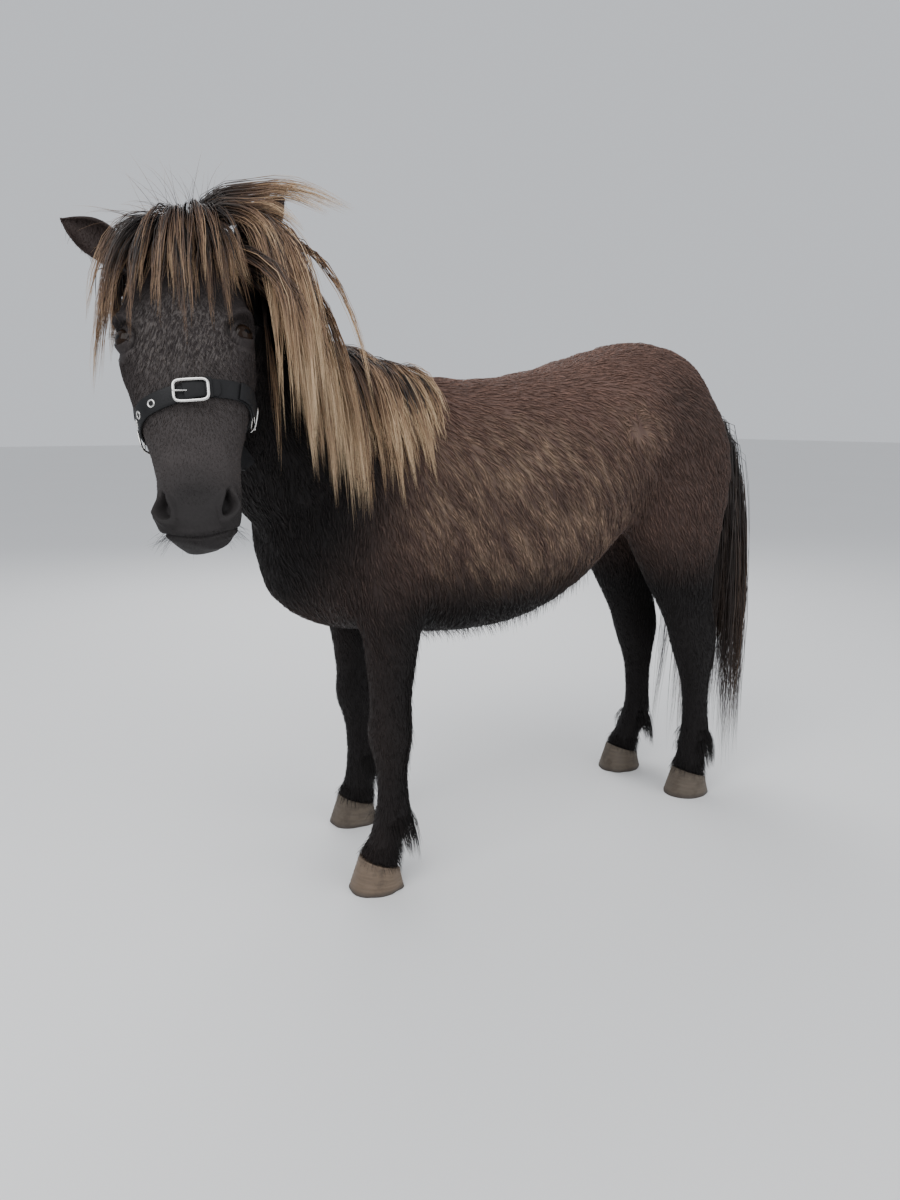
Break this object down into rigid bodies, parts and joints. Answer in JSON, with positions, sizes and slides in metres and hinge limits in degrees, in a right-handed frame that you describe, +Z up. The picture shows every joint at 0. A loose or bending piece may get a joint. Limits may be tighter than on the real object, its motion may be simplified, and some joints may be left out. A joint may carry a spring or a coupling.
{
  "type": "shetland pony",
  "caption": "Life-size still model of a shaggy small pony standing square with its head turned to its left, long mane and forelock, wearing a leather headcollar.",
  "frame": {"origin": "middle of the model's footprint on the ground: the bottom centre of its box, level with the flat soles of the hooves", "axes": "+Z up, -Y the way the pony's body faces, +Y towards its tail, +X the pony's left side, to which its head is turned"},
  "size_m": [0.5514, 1.3914, 1.1416],
  "materials": {
    "dark_coat": "dark brown-black hair, lying flat",
    "brown_coat": "brown hair with paler streaks, lying flat",
    "hoof_horn": "dry grooved horn",
    "eyes": "wet and glossy",
    "leather": "worn black leather",
    "steel": "satin nickel plate"
  },
  "bodies": {
    "root": {"cheekpiece_left": "leather", "cheekpiece_right": "leather", "crownpiece": "leather", "ear_left": "dark_coat", "ear_right": "dark_coat", "eye_left": "eyes", "eye_right": "eyes", "eyelet_1": "steel", "eyelet_2": "steel", "eyelet_3": "steel", "forehoof_left": "hoof_horn", "forehoof_right": "hoof_horn", "foreleg_left": "dark_coat", "foreleg_right": "dark_coat", "head": "dark_coat", "hindhoof_left": "hoof_horn", "hindhoof_right": "hoof_horn", "hindleg_left": "dark_coat", "hindleg_right": "dark_coat", "neck": "brown_coat", "noseband": "leather", "noseband_buckle": "steel", "side_ring_left": "steel", "side_ring_right": "steel", "tail": "dark_coat", "torso": "brown_coat"}
  },
  "joints": []
}
